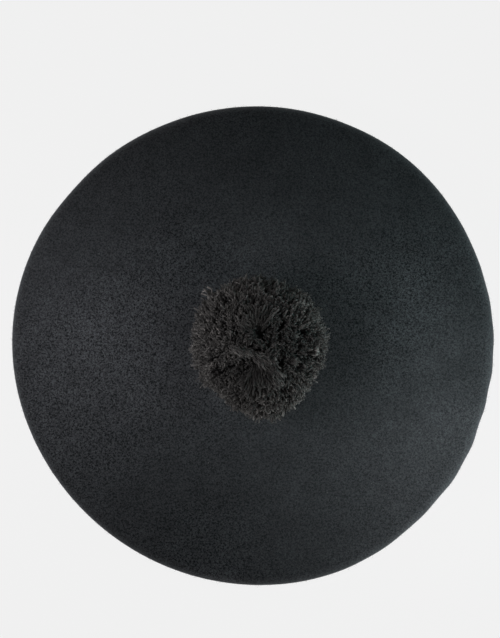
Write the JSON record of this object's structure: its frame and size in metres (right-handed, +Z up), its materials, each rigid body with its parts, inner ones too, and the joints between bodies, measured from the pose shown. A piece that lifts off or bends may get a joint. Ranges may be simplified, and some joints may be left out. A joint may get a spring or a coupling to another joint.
{
  "type": "beret",
  "caption": "Round flat black wool felt beret with a loose cut-yarn pompom at its centre, satin lining and leather sweatband.",
  "frame": {"origin": "middle of the head opening, on the surface that the beret lies on", "axes": "+Z up through the crown to the pompom, +Y to the back of the head where the sweatband is joined, +X to the right"},
  "size_m": [0.28, 0.28, 0.105],
  "materials": {
    "wool_felt": "matte",
    "pompom_yarn": "matte",
    "satin": "satin",
    "label_weave": "satin",
    "sweatband_leather": "satin",
    "sewing_thread": "matte",
    "tie_thread": "matte",
    "ribbon": "satin",
    "button": "satin"
  },
  "bodies": {
    "beret": {"felt_crown": "wool_felt", "lining_tip": "satin", "lining_side": "satin", "lining_label": "label_weave", "sweatband": "sweatband_leather", "sweatband_stitches": "sewing_thread", "bow_loops": "ribbon", "bow_knot": "ribbon", "backing_button": "button", "anchor_cord": "tie_thread"},
    "shank": {"thread_shank": "tie_thread"},
    "knot": {"tie_knot": "tie_thread"},
    "pompom": {"pompom_tie": "tie_thread", "pompom_yarn": "pompom_yarn"}
  },
  "joints": [
    {"name": "pompom_tilt_back", "type": "hinge", "parent": "beret", "child": "shank", "pos_m": [0, 0, 0.04332], "axis": [1, 0, 0], "range_deg": [-12, 12], "stiffness_Nm_per_rad": 0.15},
    {"name": "pompom_tilt_side", "type": "hinge", "parent": "shank", "child": "knot", "pos_m": [0, 0, 0.04332], "axis": [0, 1, 0], "range_deg": [-12, 12], "stiffness_Nm_per_rad": 0.15},
    {"name": "pompom_twist", "type": "hinge", "parent": "knot", "child": "pompom", "pos_m": [0, 0, 0.04332], "axis": [0, 0, 1], "range_deg": [-30, 30], "stiffness_Nm_per_rad": 0.02}
  ]
}
